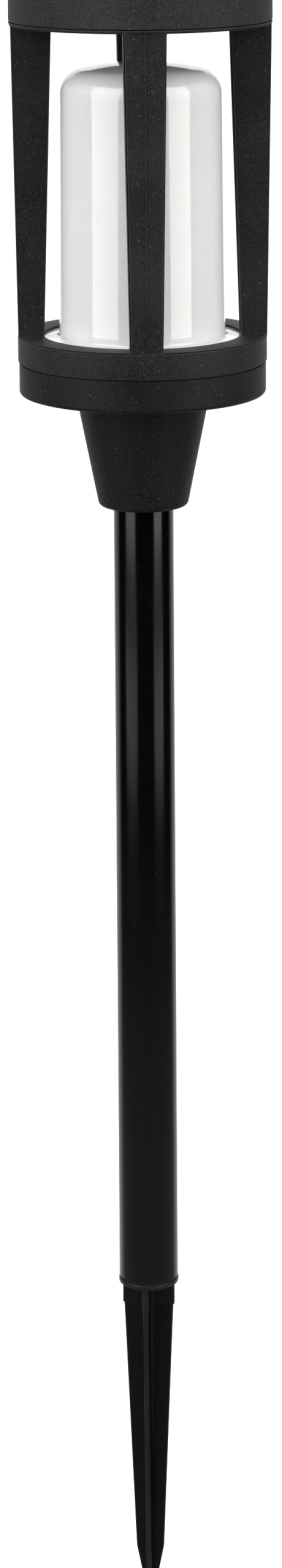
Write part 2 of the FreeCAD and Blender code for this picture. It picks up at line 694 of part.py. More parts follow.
def make_battery():
    holder_in = cell_r + cell_gap_round
    holder_out = holder_in + holder_wall
    contact_z = core_z + holder_end
    spring_z = contact_z + contact_t
    cell_z = spring_z + spring_height
    cell_top = cell_z + cell_length
    end_z = cell_top + nub_h + contact_t
    holder_top = end_z + holder_end
    back = ring(holder_out, holder_in, core_z, holder_top)
    back = back.cut(block(0, holder_out + 1, -holder_out - 1, holder_out + 1, core_z - 1, holder_top + 1))
    ends = [cylinder(holder_out, core_z, contact_z), cylinder(holder_out, end_z, holder_top)]
    save("battery_holder", turned_about_z(joined(back, ends), rear))
    save("battery", turned([(0, cell_z, 0), (cell_r, cell_z, 0.5), (cell_r, cell_top, 0.8),
                            (nub_r, cell_top, 0), (nub_r, cell_top + nub_h, 0.2), (0, cell_top + nub_h, 0)]))
    contacts, leads = [], []
    for side, z, low in ((cell_lead_places[0], end_z - contact_t, end_z - contact_t),
                         (cell_lead_places[1], contact_z, contact_z)):
        tab = block(0, wire_drop + wire_r + 0.4, side - tab_half, side + tab_half, z, z + contact_t)
        contacts.append(turned_about_z(joined(cylinder(contact_r, z, z + contact_t), [tab]), rear))
        points = [(wire_drop, side, low), (wire_drop, side, wire_z), (connector_inner, side, wire_z)]
        leads.append(turned_about_z(tube_along(points, wire_bend, wire_r), rear))
    save("battery_contacts", contacts)
    save("battery_leads", leads)
    # leaf spring: the top of a thin hoop that lies across the contact and bears on the cell
    hoop_r = (spring_half ** 2 + spring_height ** 2) / (2 * spring_height)
    hoop = ring(hoop_r, hoop_r - contact_t, -spring_width / 2, spring_width / 2)
    hoop.rotate(Vector(0, 0, 0), Vector(1, 0, 0), 90)
    hoop.translate(Vector(0, 0, cell_z - hoop_r))
    half = spring_half + 1
    save("battery_spring", hoop.common(block(-half, half, -half, half, spring_z, cell_z + 1)))


os.makedirs("parts", exist_ok=True)
make_stake()
make_pole()
make_base_cup()
make_base_screws()
make_button()
make_switch()
make_board()
make_tray_and_seals()
make_diffuser()
make_cage()
make_cap()
make_panel()
make_panel_lead()
make_light_column()
make_battery()
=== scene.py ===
import bmesh
import bpy
import math
import numpy as np
from mathutils import Matrix, Vector


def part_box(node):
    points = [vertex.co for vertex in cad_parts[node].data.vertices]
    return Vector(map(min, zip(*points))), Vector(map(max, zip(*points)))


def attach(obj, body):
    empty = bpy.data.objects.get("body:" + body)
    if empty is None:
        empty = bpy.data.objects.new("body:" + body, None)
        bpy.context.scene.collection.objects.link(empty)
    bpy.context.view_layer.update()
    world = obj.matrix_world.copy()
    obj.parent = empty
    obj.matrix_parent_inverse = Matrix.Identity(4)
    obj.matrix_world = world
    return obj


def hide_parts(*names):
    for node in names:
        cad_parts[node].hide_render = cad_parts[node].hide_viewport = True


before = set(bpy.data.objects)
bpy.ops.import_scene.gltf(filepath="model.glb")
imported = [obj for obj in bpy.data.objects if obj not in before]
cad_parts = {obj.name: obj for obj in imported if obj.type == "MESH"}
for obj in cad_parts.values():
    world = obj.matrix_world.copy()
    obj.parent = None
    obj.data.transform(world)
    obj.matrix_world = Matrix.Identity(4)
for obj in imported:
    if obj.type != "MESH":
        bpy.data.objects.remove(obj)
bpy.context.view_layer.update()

# Solar garden torch: stake, tube pole and lantern head. -Y is the front, the ground line is z = 0.
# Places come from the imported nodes; lengths are metres, angles degrees.
mm = 0.001
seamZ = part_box("cage")[0].z                  # cage to base cup
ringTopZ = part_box("rib_cover_front")[0].z    # where the ribs start
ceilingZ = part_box("rib_cover_front")[1].z    # underside of the cage's ceiling
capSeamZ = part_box("cage")[1].z               # cage to cap
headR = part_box("cap")[1].x
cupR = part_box("base_cup")[1].x
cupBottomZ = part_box("button_bezel")[1].z
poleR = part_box("pole")[1].x
print("frame: %d nodes, head radius %.1f mm" % (len(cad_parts), headR / mm))


# Meshes from arrays

weldDistance = 1e-7                                # rows at the axis close into a pole
wearRule = {"longest": 0.5 * mm, "fullTurn": 12}   # only arcs of short steps wear, fully at this turn a step


def gridFaces(rows, columns, closedRows=False):
    # one quad for each cell of a grid whose columns close on themselves; closed rows join last to first
    i = np.arange(rows if closedRows else rows - 1)[:, None]
    j = np.arange(columns)[None, :]
    nextI, nextJ = (i + 1) % rows, (j + 1) % columns
    corners = (i * columns + j, i * columns + nextJ, nextI * columns + nextJ, nextI * columns + j)
    return np.stack(np.broadcast_arrays(*corners), -1).reshape(-1, 4).tolist()


def makePiece(name, shells, body, material, sharpAngle=32):
    # shells: (points, faces, edge wear) of each closed surface; they share one mesh
    points = np.concatenate([shell[0].reshape(-1, 3) for shell in shells])
    wear = np.concatenate([shell[2].reshape(-1) for shell in shells])
    faces, start = [], 0
    for shell in shells:
        faces += [[start + k for k in face] for face in shell[1]]
        start += shell[0].size // 3
    mesh = bpy.data.meshes.new(name)
    mesh.from_pydata(points.tolist(), [], faces)
    mesh.attributes.new("edgeWear", "FLOAT", "POINT").data.foreach_set("value", wear.astype(np.float32))
    work = bmesh.new()
    work.from_mesh(mesh)
    bmesh.ops.remove_doubles(work, verts=work.verts, dist=weldDistance)
    bmesh.ops.recalc_face_normals(work, faces=work.faces)
    work.to_mesh(mesh)
    work.free()
    mesh.shade_smooth()
    mesh.set_sharp_from_angle(angle=math.radians(sharpAngle))
    mesh.materials.append(material)
    piece = bpy.data.objects.new(name, mesh)
    bpy.context.scene.collection.objects.link(piece)
    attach(piece, body)
    return piece


def roundedOutline(corners, closed=True, steps=6):
    # straight runs between (a, b, fillet) corners, each turned by an arc of its fillet radius
    corners = [tuple(map(float, corner)) for corner in corners]
    out = []
    for k, (a, b, fillet) in enumerate(corners):
        here = np.array([a, b])
        if fillet == 0 or (not closed and k in (0, len(corners) - 1)):
            out.append(here[None, :])
            continue
        back = np.array(corners[k - 1][:2]) - here
        ahead = np.array(corners[(k + 1) % len(corners)][:2]) - here
        back, ahead = back / np.linalg.norm(back), ahead / np.linalg.norm(ahead)
        half = math.acos(np.clip(back @ ahead, -1, 1)) / 2
        middle = (back + ahead) / np.linalg.norm(back + ahead)
        centre = here + middle * fillet / math.sin(half)
        turn = np.linspace(-1, 1, steps + 1)[:, None] * (math.pi / 2 - half)
        across = (ahead - back) / np.linalg.norm(ahead - back)
        out.append(centre + fillet * (np.sin(turn) * across - np.cos(turn) * middle))
    return np.concatenate(out)


def outlineWear(outline, closed=True):
    # how sharply the outline turns at each point of a small arc: 0 on straight runs and at an arc's ends
    ahead = np.roll(outline, -1, 0) - outline
    back = outline - np.roll(outline, 1, 0)
    turn = np.abs(back[:, 0] * ahead[:, 1] - back[:, 1] * ahead[:, 0])
    lengths = np.stack([np.linalg.norm(ahead, axis=1), np.linalg.norm(back, axis=1)])
    angle = np.arcsin(np.clip(turn / np.maximum(lengths.prod(0), 1e-12), -1, 1))
    inArc = (lengths.min(0) > 0.5 * lengths.max(0)) & (lengths.max(0) < wearRule["longest"])
    wear = np.clip(angle / math.radians(wearRule["fullTurn"]), 0, 1) * inArc
    if not closed:
        wear[0] = wear[-1] = 0
    return wear


def revolved(outline, closed=True, steps=240, centre=(0.0, 0.0)):
    # (r, z) outline turned about the vertical through centre: x = r cos t, y = r sin t
    t = np.linspace(0, 2 * math.pi, steps, endpoint=False)[None, :]
    r, z = outline[:, :1], outline[:, 1:]
    points = np.stack([centre[0] + r * np.cos(t), centre[1] + r * np.sin(t), z + 0 * t], -1)
    wear = np.repeat(outlineWear(outline, closed)[:, None], steps, 1)
    return points, gridFaces(len(outline), steps, closed), wear


def lofted(sections, wear=None):
    # rows of one closed section each, with a flat face over the first and the last
    rows, columns = sections.shape[:2]
    faces = gridFaces(rows, columns)
    faces += [list(range(columns)), list(range((rows - 1) * columns, rows * columns))]
    return sections, faces, np.zeros((rows, columns)) if wear is None else wear


# Materials. Every pattern reads Object coordinates, in metres, so scales are per metre.
# In addNode, spread and combine the owner is a material or the world.

def addNode(owner, kind, inputs=None, **settings):
    node = owner.node_tree.nodes.new(kind)
    for key, value in settings.items():
        setattr(node, key, value)
    for key, value in (inputs or {}).items():
        if isinstance(value, bpy.types.NodeSocket):
            owner.node_tree.links.new(value, node.inputs[key])
        else:
            node.inputs[key].default_value = value
    return node


def newMaterial(name, settings):
    material = bpy.data.materials.new(name)
    material.use_nodes = True
    shader = material.node_tree.nodes["Principled BSDF"]
    for key, value in settings.items():
        shader.inputs[key].default_value = value
    return material, shader


def feedShader(material, shader, sockets):
    for key, value in sockets.items():
        material.node_tree.links.new(value, shader.inputs[key])
    return material


def objectPattern(material, stretch=(1, 1, 1)):
    place = addNode(material, "ShaderNodeTexCoord").outputs["Object"]
    return addNode(material, "ShaderNodeMapping", {"Vector": place, "Scale": stretch}).outputs[0]


def noise(material, pattern, scale, detail=2.0, rough=0.5):
    inputs = {"Vector": pattern, "Scale": scale, "Detail": detail, "Roughness": rough}
    return addNode(material, "ShaderNodeTexNoise", inputs).outputs["Fac"]


def spread(owner, value, low, high, fromLow=0.0, fromHigh=1.0):
    inputs = {"Value": value, "From Min": fromLow, "From Max": fromHigh, "To Min": low, "To Max": high}
    return addNode(owner, "ShaderNodeMapRange", inputs).outputs["Result"]


def mixColour(material, factor, a, b):
    return addNode(material, "ShaderNodeMix", {0: factor, 6: a, 7: b}, data_type="RGBA").outputs[2]


def combine(owner, operation, a, b):
    return addNode(owner, "ShaderNodeMath", {0: a, 1: b}, operation=operation).outputs[0]


def bumpMap(material, height, distance, under=None):
    inputs = {"Height": height, "Distance": distance}
    if under is not None:
        inputs["Normal"] = under
    return addNode(material, "ShaderNodeBump", inputs).outputs[0]


def shade(grey, tint=0.0):
    return (grey, grey, grey * (1 + tint), 1)


def mouldedPlastic(name, look):
    # grain and soft blotches in colour and roughness, pale specks, rubbed edges, grain and flow lines as bump
    material, shader = newMaterial(name, look.get("shader", {}))
    pattern = objectPattern(material)
    grain = noise(material, pattern, look["grainScale"], 4.0, 0.6)
    blotch = noise(material, pattern, look["blotchScale"], 3.0, 0.55)
    mottle = noise(material, pattern, look["grainScale"] * 0.6, 2.0, 0.6)
    patch = combine(material, "ADD", combine(material, "MULTIPLY", blotch, 0.5),
                    combine(material, "MULTIPLY", mottle, 0.5))
    colour = mixColour(material, spread(material, patch, 0, 1, 0.38, 0.62), look["dark"], look["light"])
    fleck = spread(material, grain, 0, look["grainTint"], 0.42, 0.75)
    colour = mixColour(material, fleck, colour, look["fleck"])
    dust = noise(material, pattern, look["speckScale"], 1.0)
    speck = spread(material, dust, 0, look["speckAmount"], 0.735, 0.78)
    colour = mixColour(material, speck, colour, look["speck"])
    edge = addNode(material, "ShaderNodeAttribute", attribute_name="edgeWear").outputs["Fac"]
    rubbed = combine(material, "MULTIPLY", edge, spread(material, blotch, 0.25, look["wear"], 0.35, 0.6))
    colour = mixColour(material, rubbed, colour, look["worn"])
    mid, swing = look["roughness"]
    rough = combine(material, "ADD", spread(material, blotch, mid - swing, mid + swing, 0.3, 0.7),
                    spread(material, grain, -swing / 2, swing / 2, 0.3, 0.7))
    stretched = objectPattern(material, look.get("flow", (1, 1, 1)))
    lines = noise(material, stretched, look.get("flowScale", 60), 3.0)
    flow = bumpMap(material, lines, look.get("flowHeight", 0.01 * mm))
    normal = bumpMap(material, grain, look["grainHeight"], flow)
    return feedShader(material, shader, {"Base Color": colour, "Roughness": rough, "Normal": normal})


headLook = {
    "shader": {"Specular IOR Level": 0.15},
    "dark": shade(0.0035, 0.02), "light": shade(0.012, 0.02), "fleck": shade(0.045), "grainTint": 0.45,
    "grainScale": 1500, "grainHeight": 0.035 * mm, "blotchScale": 26, "roughness": (0.56, 0.05),
    "speckScale": 1100, "speckAmount": 0.5, "speck": shade(0.2), "wear": 0.4, "worn": shade(0.09),
    "flowScale": 14, "flowHeight": 0.25 * mm,
}
# the cap is the head's charcoal plastic painted lighter: a painted highlight for the soft light on the top of
# the head
capPaintedHighlightLook = dict(headLook, dark=shade(0.008, 0.02), light=shade(0.026, 0.02), fleck=shade(0.06),
               roughness=(0.62, 0.05), shader={"Specular IOR Level": 0.1})
# the base cup is the same charcoal plastic painted darker: painted shade for the lower part of the head
cupPaintedShadeLook = dict(headLook, dark=shade(0.001, 0.02), light=shade(0.004, 0.02), fleck=shade(0.025),
               shader={"Specular IOR Level": 0.17})
poleLook = {
    "shader": {"Specular IOR Level": 0.3},
    "dark": shade(0.0008, 0.1), "light": shade(0.0018, 0.1), "fleck": shade(0.005), "grainTint": 0.3,
    "grainScale": 2200, "grainHeight": 0.004 * mm, "blotchScale": 18, "roughness": (0.15, 0.02),
    "speckScale": 1000, "speckAmount": 0.3, "speck": shade(0.06), "wear": 0.4, "worn": shade(0.06),
    "flow": (1, 1, 0.012), "flowScale": 420, "flowHeight": 0.01 * mm,
}
stakeLook = {
    "shader": {"Specular IOR Level": 0.25},
    "dark": shade(0.0008, 0.05), "light": shade(0.0015, 0.05), "fleck": shade(0.005), "grainTint": 0.3,
    "grainScale": 1300, "grainHeight": 0.012 * mm, "blotchScale": 30, "roughness": (0.34, 0.06),
    "speckScale": 900, "speckAmount": 0.3, "speck": shade(0.05), "wear": 0.35, "worn": shade(0.03),
    "flow": (1, 1, 0.2), "flowScale": 60, "flowHeight": 0.05 * mm,
}
opalLook = {
    "shader": {"Subsurface Weight": 1.0, "Subsurface Radius": (1.0, 0.97, 0.94), "Subsurface Scale": 0.008,
               "IOR": 1.6},
    "dark": (0.965, 0.962, 0.952, 1), "light": (0.98, 0.977, 0.967, 1), "fleck": (0.985, 0.985, 0.98, 1),
    "grainTint": 0.3, "grainScale": 1800, "grainHeight": 0.002 * mm, "blotchScale": 30,
    "roughness": (0.045, 0.015), "speckScale": 420, "speckAmount": 0.12, "speck": (0.55, 0.54, 0.52, 1),
    "wear": 0.2, "worn": (0.7, 0.7, 0.7, 1), "flow": (1, 1, 0.25), "flowScale": 22, "flowHeight": 0.12 * mm,
}
whiteLook = {
    "dark": shade(0.70, -0.02), "light": shade(0.78, -0.02), "fleck": shade(0.82), "grainTint": 0.3,
    "grainScale": 1400, "grainHeight": 0.015 * mm, "blotchScale": 40, "roughness": (0.42, 0.05),
    "speckScale": 500, "speckAmount": 0.2, "speck": shade(0.4), "wear": 0.3, "worn": shade(0.85),
}
innerLook = {
    "dark": shade(0.018), "light": shade(0.028), "fleck": shade(0.045), "grainTint": 0.4, "grainScale": 1100,
    "grainHeight": 0.03 * mm, "blotchScale": 45, "roughness": (0.5, 0.06), "speckScale": 600,
    "speckAmount": 0.3, "speck": shade(0.2), "wear": 0.4, "worn": shade(0.12),
}
rubberLook = {
    "shader": {"Sheen Weight": 0.15, "Sheen Roughness": 0.4, "Specular IOR Level": 0.35},
    "dark": shade(0.016), "light": shade(0.024), "fleck": shade(0.05), "grainTint": 0.5, "grainScale": 900,
    "grainHeight": 0.04 * mm, "blotchScale": 60, "roughness": (0.72, 0.06), "speckScale": 520,
    "speckAmount": 0.4, "speck": shade(0.25), "wear": 0.5, "worn": shade(0.09),
}
foamLook = {
    "shader": {"Sheen Weight": 0.3, "Sheen Roughness": 0.5},
    "dark": shade(0.66, -0.04), "light": shade(0.78, -0.04), "fleck": shade(0.5, -0.05), "grainTint": 0.7,
    "grainScale": 1600, "grainHeight": 0.12 * mm, "blotchScale": 50, "roughness": (0.85, 0.05),
    "speckScale": 700, "speckAmount": 0.4, "speck": shade(0.4), "wear": 0.3, "worn": shade(0.6),
}
chipLook = dict(innerLook, dark=shade(0.014), light=shade(0.02), grainScale=2600, roughness=(0.4, 0.05))
wrapLook = dict(innerLook, dark=(0.03, 0.14, 0.34, 1), light=(0.045, 0.18, 0.42, 1),
                fleck=(0.08, 0.24, 0.5, 1), roughness=(0.24, 0.05), grainHeight=0.01 * mm)
redLook = dict(rubberLook, dark=(0.35, 0.015, 0.012, 1), light=(0.45, 0.025, 0.02, 1),
               fleck=(0.5, 0.06, 0.05, 1), roughness=(0.45, 0.05))
blackWireLook = dict(rubberLook, roughness=(0.48, 0.05), grainHeight=0.015 * mm)
maskLook = dict(whiteLook, dark=(0.76, 0.76, 0.75, 1), roughness=(0.3, 0.05), grainHeight=0.008 * mm)
ledLook = dict(whiteLook, dark=(0.82, 0.52, 0.10, 1), light=(0.9, 0.62, 0.16, 1), fleck=(0.95, 0.75, 0.3, 1),
               roughness=(0.3, 0.05), shader={"Subsurface Weight": 0.2, "Subsurface Scale": 0.001})


def brushedMetal(name, look):
    # fine turned lines, cloudy tarnish, rough where tarnished
    material, shader = newMaterial(name, {"Metallic": 1.0})
    cloud = noise(material, objectPattern(material), look["cloudScale"], 4.0, 0.6)
    line = noise(material, objectPattern(material, look["stretch"]), look["lineScale"], 2.0)
    colour = mixColour(material, spread(material, cloud, 0, 1, 0.35, 0.7), look["bright"], look["dull"])
    rough = combine(material, "ADD", spread(material, cloud, 0.22, 0.42), spread(material, line, -0.05, 0.08))
    normal = bumpMap(material, line, look["lineHeight"])
    return feedShader(material, shader, {"Base Color": colour, "Roughness": rough, "Normal": normal})


steelLook = {"bright": (0.62, 0.62, 0.63, 1), "dull": (0.38, 0.38, 0.37, 1), "cloudScale": 420,
             "stretch": (1, 1, 6), "lineScale": 1800, "lineHeight": 0.01 * mm}
nickelLook = {"bright": (0.75, 0.72, 0.66, 1), "dull": (0.5, 0.47, 0.42, 1), "cloudScale": 260,
              "stretch": (1, 9, 1), "lineScale": 1200, "lineHeight": 0.008 * mm}


def stripes(material, coordinate, pitch, share):
    # 1 on a band that repeats every pitch along one coordinate and takes up that share of it
    place = combine(material, "ADD", coordinate, pitch / 2)
    wrapped = addNode(material, "ShaderNodeMath", {0: place, 1: pitch, 2: 0.0}, operation="WRAP").outputs[0]
    return combine(material, "LESS_THAN", wrapped, pitch * share)


def boardFinish(name, look):
    # solder mask over copper tracks that cross at right angles, with the glass weave just showing
    material, shader = newMaterial(name, {"Coat Weight": 0.3, "Coat Roughness": 0.15})
    pattern = objectPattern(material)
    axes = addNode(material, "ShaderNodeSeparateXYZ", {0: pattern})
    cloud = noise(material, pattern, look["cloudScale"], 2.0)
    along = stripes(material, axes.outputs[0], look["trackPitch"], look["trackShare"])
    cross = stripes(material, axes.outputs[1], look["crossPitch"], look["crossShare"])
    tracks = combine(material, "MAXIMUM", along, cross)
    tracks = combine(material, "MULTIPLY", tracks, spread(material, cloud, 0, 1, 0.48, 0.5))
    colour = mixColour(material, tracks, look["mask"], look["track"])
    weave = spread(material, noise(material, pattern, look["weaveScale"], 3.0), 0, look["weaveTint"])
    colour = mixColour(material, weave, colour, look["weave"])
    rough = spread(material, cloud, 0.28, 0.4)
    normal = bumpMap(material, tracks, look["trackHeight"])
    return feedShader(material, shader, {"Base Color": colour, "Roughness": rough, "Normal": normal})


boardLook = {"trackPitch": 2.54 * mm, "trackShare": 0.22, "crossPitch": 3.81 * mm, "crossShare": 0.14,
             "trackHeight": 0.03 * mm, "cloudScale": 90, "weaveScale": 1500, "weaveTint": 0.3}
greenLook = dict(boardLook, mask=(0.012, 0.13, 0.045, 1), track=(0.03, 0.22, 0.08, 1),
                 weave=(0.02, 0.09, 0.04, 1))
whiteBoardLook = dict(boardLook, mask=(0.78, 0.78, 0.76, 1), track=(0.86, 0.86, 0.84, 1),
                      weave=(0.68, 0.68, 0.66, 1))


def cellFinish(name, look):
    # crystal grains of dark blue silicon under printed silver fingers and one bus bar along each strip
    material, shader = newMaterial(name, look["shader"])
    pattern = objectPattern(material)
    axes = addNode(material, "ShaderNodeSeparateXYZ", {0: pattern})
    grains = addNode(material, "ShaderNodeTexVoronoi", {"Vector": pattern, "Scale": look["grainScale"]})
    tone = addNode(material, "ShaderNodeSeparateXYZ", {0: grains.outputs["Color"]}).outputs[0]
    colour = mixColour(material, tone, look["dark"], look["light"])
    fingers = stripes(material, axes.outputs[1], look["fingerPitch"], look["fingerShare"])
    across = combine(material, "SUBTRACT", axes.outputs[0], look["busAt"])
    bars = stripes(material, across, look["busPitch"], look["busShare"])
    silver = combine(material, "MAXIMUM", fingers, bars)
    return feedShader(material, shader, {
        "Base Color": mixColour(material, silver, colour, look["silver"]),
        "Roughness": spread(material, silver, 0.4, 0.5),
        "Metallic": combine(material, "MULTIPLY", silver, 0.8),
        "Normal": bumpMap(material, silver, look["printHeight"]),
    })


cellLook = {"shader": {"Specular IOR Level": 0.08}, "dark": (0.008, 0.018, 0.075, 1),
            "light": (0.02, 0.05, 0.17, 1), "silver": (0.7, 0.7, 0.7, 1), "grainScale": 160,
            "fingerPitch": 1.9 * mm, "fingerShare": 0.09, "busPitch": 10.2 * mm, "busShare": 0.11,
            "busAt": 9.65 * mm, "printHeight": 0.02 * mm}


def clearResin(name, look):
    # clear potting resin, faintly wavy, with a few small bubbles; thin, so it lets light straight through
    material, shader = newMaterial(name, look["shader"])
    pattern = objectPattern(material)
    cloud = noise(material, pattern, look["waveScale"], 2.0)
    bubbles = addNode(material, "ShaderNodeTexVoronoi", {"Vector": pattern, "Scale": look["bubbleScale"]})
    dot = spread(material, bubbles.outputs["Distance"], 1, 0, 0.0, look["bubbleSize"])
    normal = bumpMap(material, dot, look["bubbleHeight"], bumpMap(material, cloud, look["waveHeight"]))
    return feedShader(material, shader, {"Roughness": spread(material, cloud, 0.03, 0.09), "Normal": normal})


resinLook = {
    "shader": {"Base Color": (0.02, 0.025, 0.035, 1), "Alpha": 0.3, "IOR": 1.5, "Specular IOR Level": 0.1},
    "waveScale": 45, "waveHeight": 0.06 * mm, "bubbleScale": 140, "bubbleSize": 0.08,
    "bubbleHeight": 0.01 * mm,
}

headPlastic = mouldedPlastic("head_plastic", headLook)
# the cap's finish is painted lighter, a painted highlight
capPaintedHighlightPlastic = mouldedPlastic("cap_plastic_painted_highlight", capPaintedHighlightLook)
# the cup's finish is painted darker, painted shade
cupPaintedShadePlastic = mouldedPlastic("cup_plastic_painted_shade", cupPaintedShadeLook)
polePlastic = mouldedPlastic("pole_plastic", poleLook)
stakePlastic = mouldedPlastic("stake_plastic", stakeLook)
opalPlastic = mouldedPlastic("opal_plastic", opalLook)
buttonRubber = mouldedPlastic("button_rubber", rubberLook)
innerBlack = mouldedPlastic("inner_black", innerLook)
whitePlastic = mouldedPlastic("white_plastic", whiteLook)
screwSteel = brushedMetal("screw_steel", steelLook)
nickel = brushedMetal("nickel_spring", nickelLook)
redWire = mouldedPlastic("red_wire", redLook)
cellSilicon = cellFinish("solar_silicon", cellLook)
clearCover = clearResin("clear_resin", resinLook)
nodeFinish = {
    headPlastic: ["cage", "rib_cover_front", "rib_cover_right", "rib_cover_rear", "rib_cover_left"],
    capPaintedHighlightPlastic: ["cap"],
    cupPaintedShadePlastic: ["base_cup"],
    polePlastic: ["pole"],
    stakePlastic: ["stake"],
    opalPlastic: ["diffuser"],
    buttonRubber: ["power_button", "button_bezel", "cup_seal", "diffuser_seal", "cap_seal"],
    innerBlack: ["push_switch", "battery_holder"],
    whitePlastic: ["base_tray", "led_core", "board_connectors"],
    screwSteel: ["base_screws", "cap_screws", "core_screws", "board_screws"],
    nickel: ["battery_contacts", "battery_spring"],
    redWire: ["led_leads", "battery_leads"],
    mouldedPlastic("black_wire", blackWireLook): ["panel_lead"],
    mouldedPlastic("foam_tape", foamLook): ["panel_tape"],
    mouldedPlastic("chip_epoxy", chipLook): ["board_parts"],
    mouldedPlastic("battery_sleeve", wrapLook): ["battery"],
    mouldedPlastic("lamp_board_mask", maskLook): ["led_flex"],
    mouldedPlastic("amber_phosphor", ledLook): ["leds"],
    boardFinish("green_board", greenLook): ["control_board"],
    boardFinish("white_board", whiteBoardLook): ["panel_board"],
    cellSilicon: ["solar_cells"],
    clearCover: ["panel_cover"],
}
for finish, names in nodeFinish.items():
    for name in names:
        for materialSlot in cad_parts[name].material_slots:
            materialSlot.material = finish
print("materials: %d finishes on the packed nodes" % len(nodeFinish))


# Diffuser

diffuserShape = {
    "wall": 1.8 * mm, "flange": 2.0 * mm, "footR": 38.6 * mm, "headR": 37.5 * mm, "footFillet": 1.8 * mm,
    "crownR": 142 * mm, "cornerR": 12 * mm, "flangeEdge": 0.4 * mm, "lowEdge": 0.2 * mm, "join": 0.1 * mm,
}


def diffuserSkin(inset, footZ):
    # shallow crown arc from the axis, corner arc tangent to it, then a slightly tapered wall down to the foot
    s = diffuserShape
    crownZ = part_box("diffuser")[1].z
    crown, corner = s["crownR"] - inset, s["cornerR"] - inset
    cornerX = s["headR"] - s["cornerR"]
    crownCentre = crownZ - s["crownR"]
    cornerZ = crownCentre + math.sqrt((crown - corner) ** 2 - cornerX ** 2)
    meet = math.asin(cornerX / (crown - corner))
    a = np.linspace(0, meet, 40)
    b = np.linspace(meet, math.pi / 2, 28)[1:]
    top = np.stack([crown * np.sin(a), crownCentre + crown * np.cos(a)], -1)
    bend = np.stack([cornerX + corner * np.sin(b), cornerZ + corner * np.cos(b)], -1)
    t = np.linspace(0, 1, 30)[1:, None]
    wall = bend[-1] + (np.array([s["footR"] - inset, footZ]) - bend[-1]) * t
    return np.concatenate([top, bend, wall])


def makeDiffuser():
    s = diffuserShape
    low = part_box("diffuser")[0].z
    flangeTop, flangeR = low + s["flange"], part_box("diffuser")[1].x
    outer = diffuserSkin(0, flangeTop)
    outer = outer[outer[:, 1] - flangeTop > s["footFillet"] * 1.05]
    turn = np.linspace(0, math.pi / 2, 14)       # the wall flares into the flange as a quarter round
    foot = np.stack([s["footR"] + s["footFillet"] * (1 - np.cos(turn)),
                     flangeTop + s["footFillet"] * (1 - np.sin(turn))], -1)
    edge = roundedOutline([(foot[-1, 0] + s["join"], flangeTop, 0), (flangeR, flangeTop, s["flangeEdge"]),
                           (flangeR, low, s["lowEdge"]), (s["footR"] - s["wall"] + s["join"], low, 0)],
                          closed=False, steps=5)
    inner = diffuserSkin(s["wall"], low)[::-1]
    outline = np.concatenate([outer, foot, edge, inner[1:]])
    outline[0, 0] = outline[-1, 0] = 0
    piece = makePiece("opal_diffuser", [revolved(outline, closed=False, steps=256)], "head",
                      opalPlastic)
    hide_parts("diffuser")


makeDiffuser()
print("diffuser made")


# Pole

poleShape = {"wall": 1.2 * mm, "edge": 0.35 * mm}


def makePole():
    s = poleShape
    low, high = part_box("pole")
    inner = poleR - s["wall"]
    outline = roundedOutline([(poleR, low.z, s["edge"]), (poleR, high.z, s["edge"]),
                              (inner, high.z, s["edge"] / 2), (inner, low.z, s["edge"] / 2)])
    piece = makePiece("tube_pole", [revolved(outline, steps=160)], "pole", polePlastic)
    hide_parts("pole")


makePole()
print("pole made")


# Stake

stakeShape = {
    "turn": -10.6, "tipR": 1.0 * mm, "pointLength": 27.5 * mm, "lowR": 6.6 * mm, "topR": 11.8 * mm,
    "shoulderR": 12.4 * mm, "shoulderDepth": 11.7 * mm, "web": 1.25 * mm, "shoulderWeb": 1.65 * mm,
    "coreR": 3.2 * mm, "collarHeight": 2.3 * mm, "stepR": 13.4 * mm, "plugR": 12.5 * mm, "leadIn": 3.0 * mm,
    "edge": 0.35 * mm, "chamfer": 0.1 * mm, "webEdge": 0.15 * mm, "shoulderRise": 0.4 * mm,
    "tipCore": 0.3 * mm, "hair": 0.02 * mm, "squareness": 9, "around": 320, "typicalReach": 1.3,
    "wearFrom": 0.93, "wearBand": 0.05,
}


def stakeSections():
    # rows of (z, web reach, half web, core radius, disc radius) from the tip up
    s = stakeShape
    low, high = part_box("stake")
    tip, collarR, stepTop = low.z, high.x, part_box("pole")[0].z
    point, step = tip + s["pointLength"], -s["shoulderDepth"]
    z = np.linspace(tip, step, 90)
    along = np.clip((z - point) / (step - point), 0, None)
    reach = np.where(z < point, s["tipR"] + (s["lowR"] - s["tipR"]) * (z - tip) / (point - tip),
                     s["lowR"] + (s["topR"] - s["lowR"]) * along)
    core = s["tipR"] * 0.6 + (s["coreR"] - s["tipR"] * 0.6) * (z - tip) / -tip
    blade = np.stack([z, reach, np.minimum(s["web"], reach * 0.8), core, 0 * z], -1)
    tipCap = np.array([[tip, 0, 0, 0, 0], [tip, 0.6 * s["tipR"], 0.5 * s["tipR"], s["tipCore"], 0]])
    edge, chamfer, collarTop = s["edge"], s["chamfer"], s["collarHeight"]
    shoulderR, shoulderWeb = s["shoulderR"], s["shoulderWeb"]
    shoulder = np.array([[step + s["hair"], shoulderR - edge, shoulderWeb - s["webEdge"], s["coreR"], 0],
                         [step + s["shoulderRise"], shoulderR, shoulderWeb, s["coreR"], 0],
                         [-s["hair"], shoulderR, shoulderWeb, s["coreR"], 0]])
    discs = [(0, collarR - edge), (chamfer, collarR - chamfer), (edge, collarR), (collarTop - edge, collarR),
             (collarTop - chamfer, collarR - chamfer), (collarTop, collarR - edge), (collarTop, s["stepR"]),
             (stepTop, s["stepR"])]
    collar = np.array([[level, s["plugR"], s["web"], s["coreR"], disc] for level, disc in discs])
    plug = np.array([[stepTop, s["plugR"], s["web"], s["coreR"], 0],
                     [high.z - s["leadIn"], s["plugR"], s["web"], s["coreR"], 0],
                     [high.z, s["plugR"] - s["leadIn"] / 2, s["web"], s["coreR"] * 0.8, 0],
                     [high.z, 0, 0, 0, 0]])
    return np.concatenate([tipCap, blade[1:], shoulder, collar, plug])


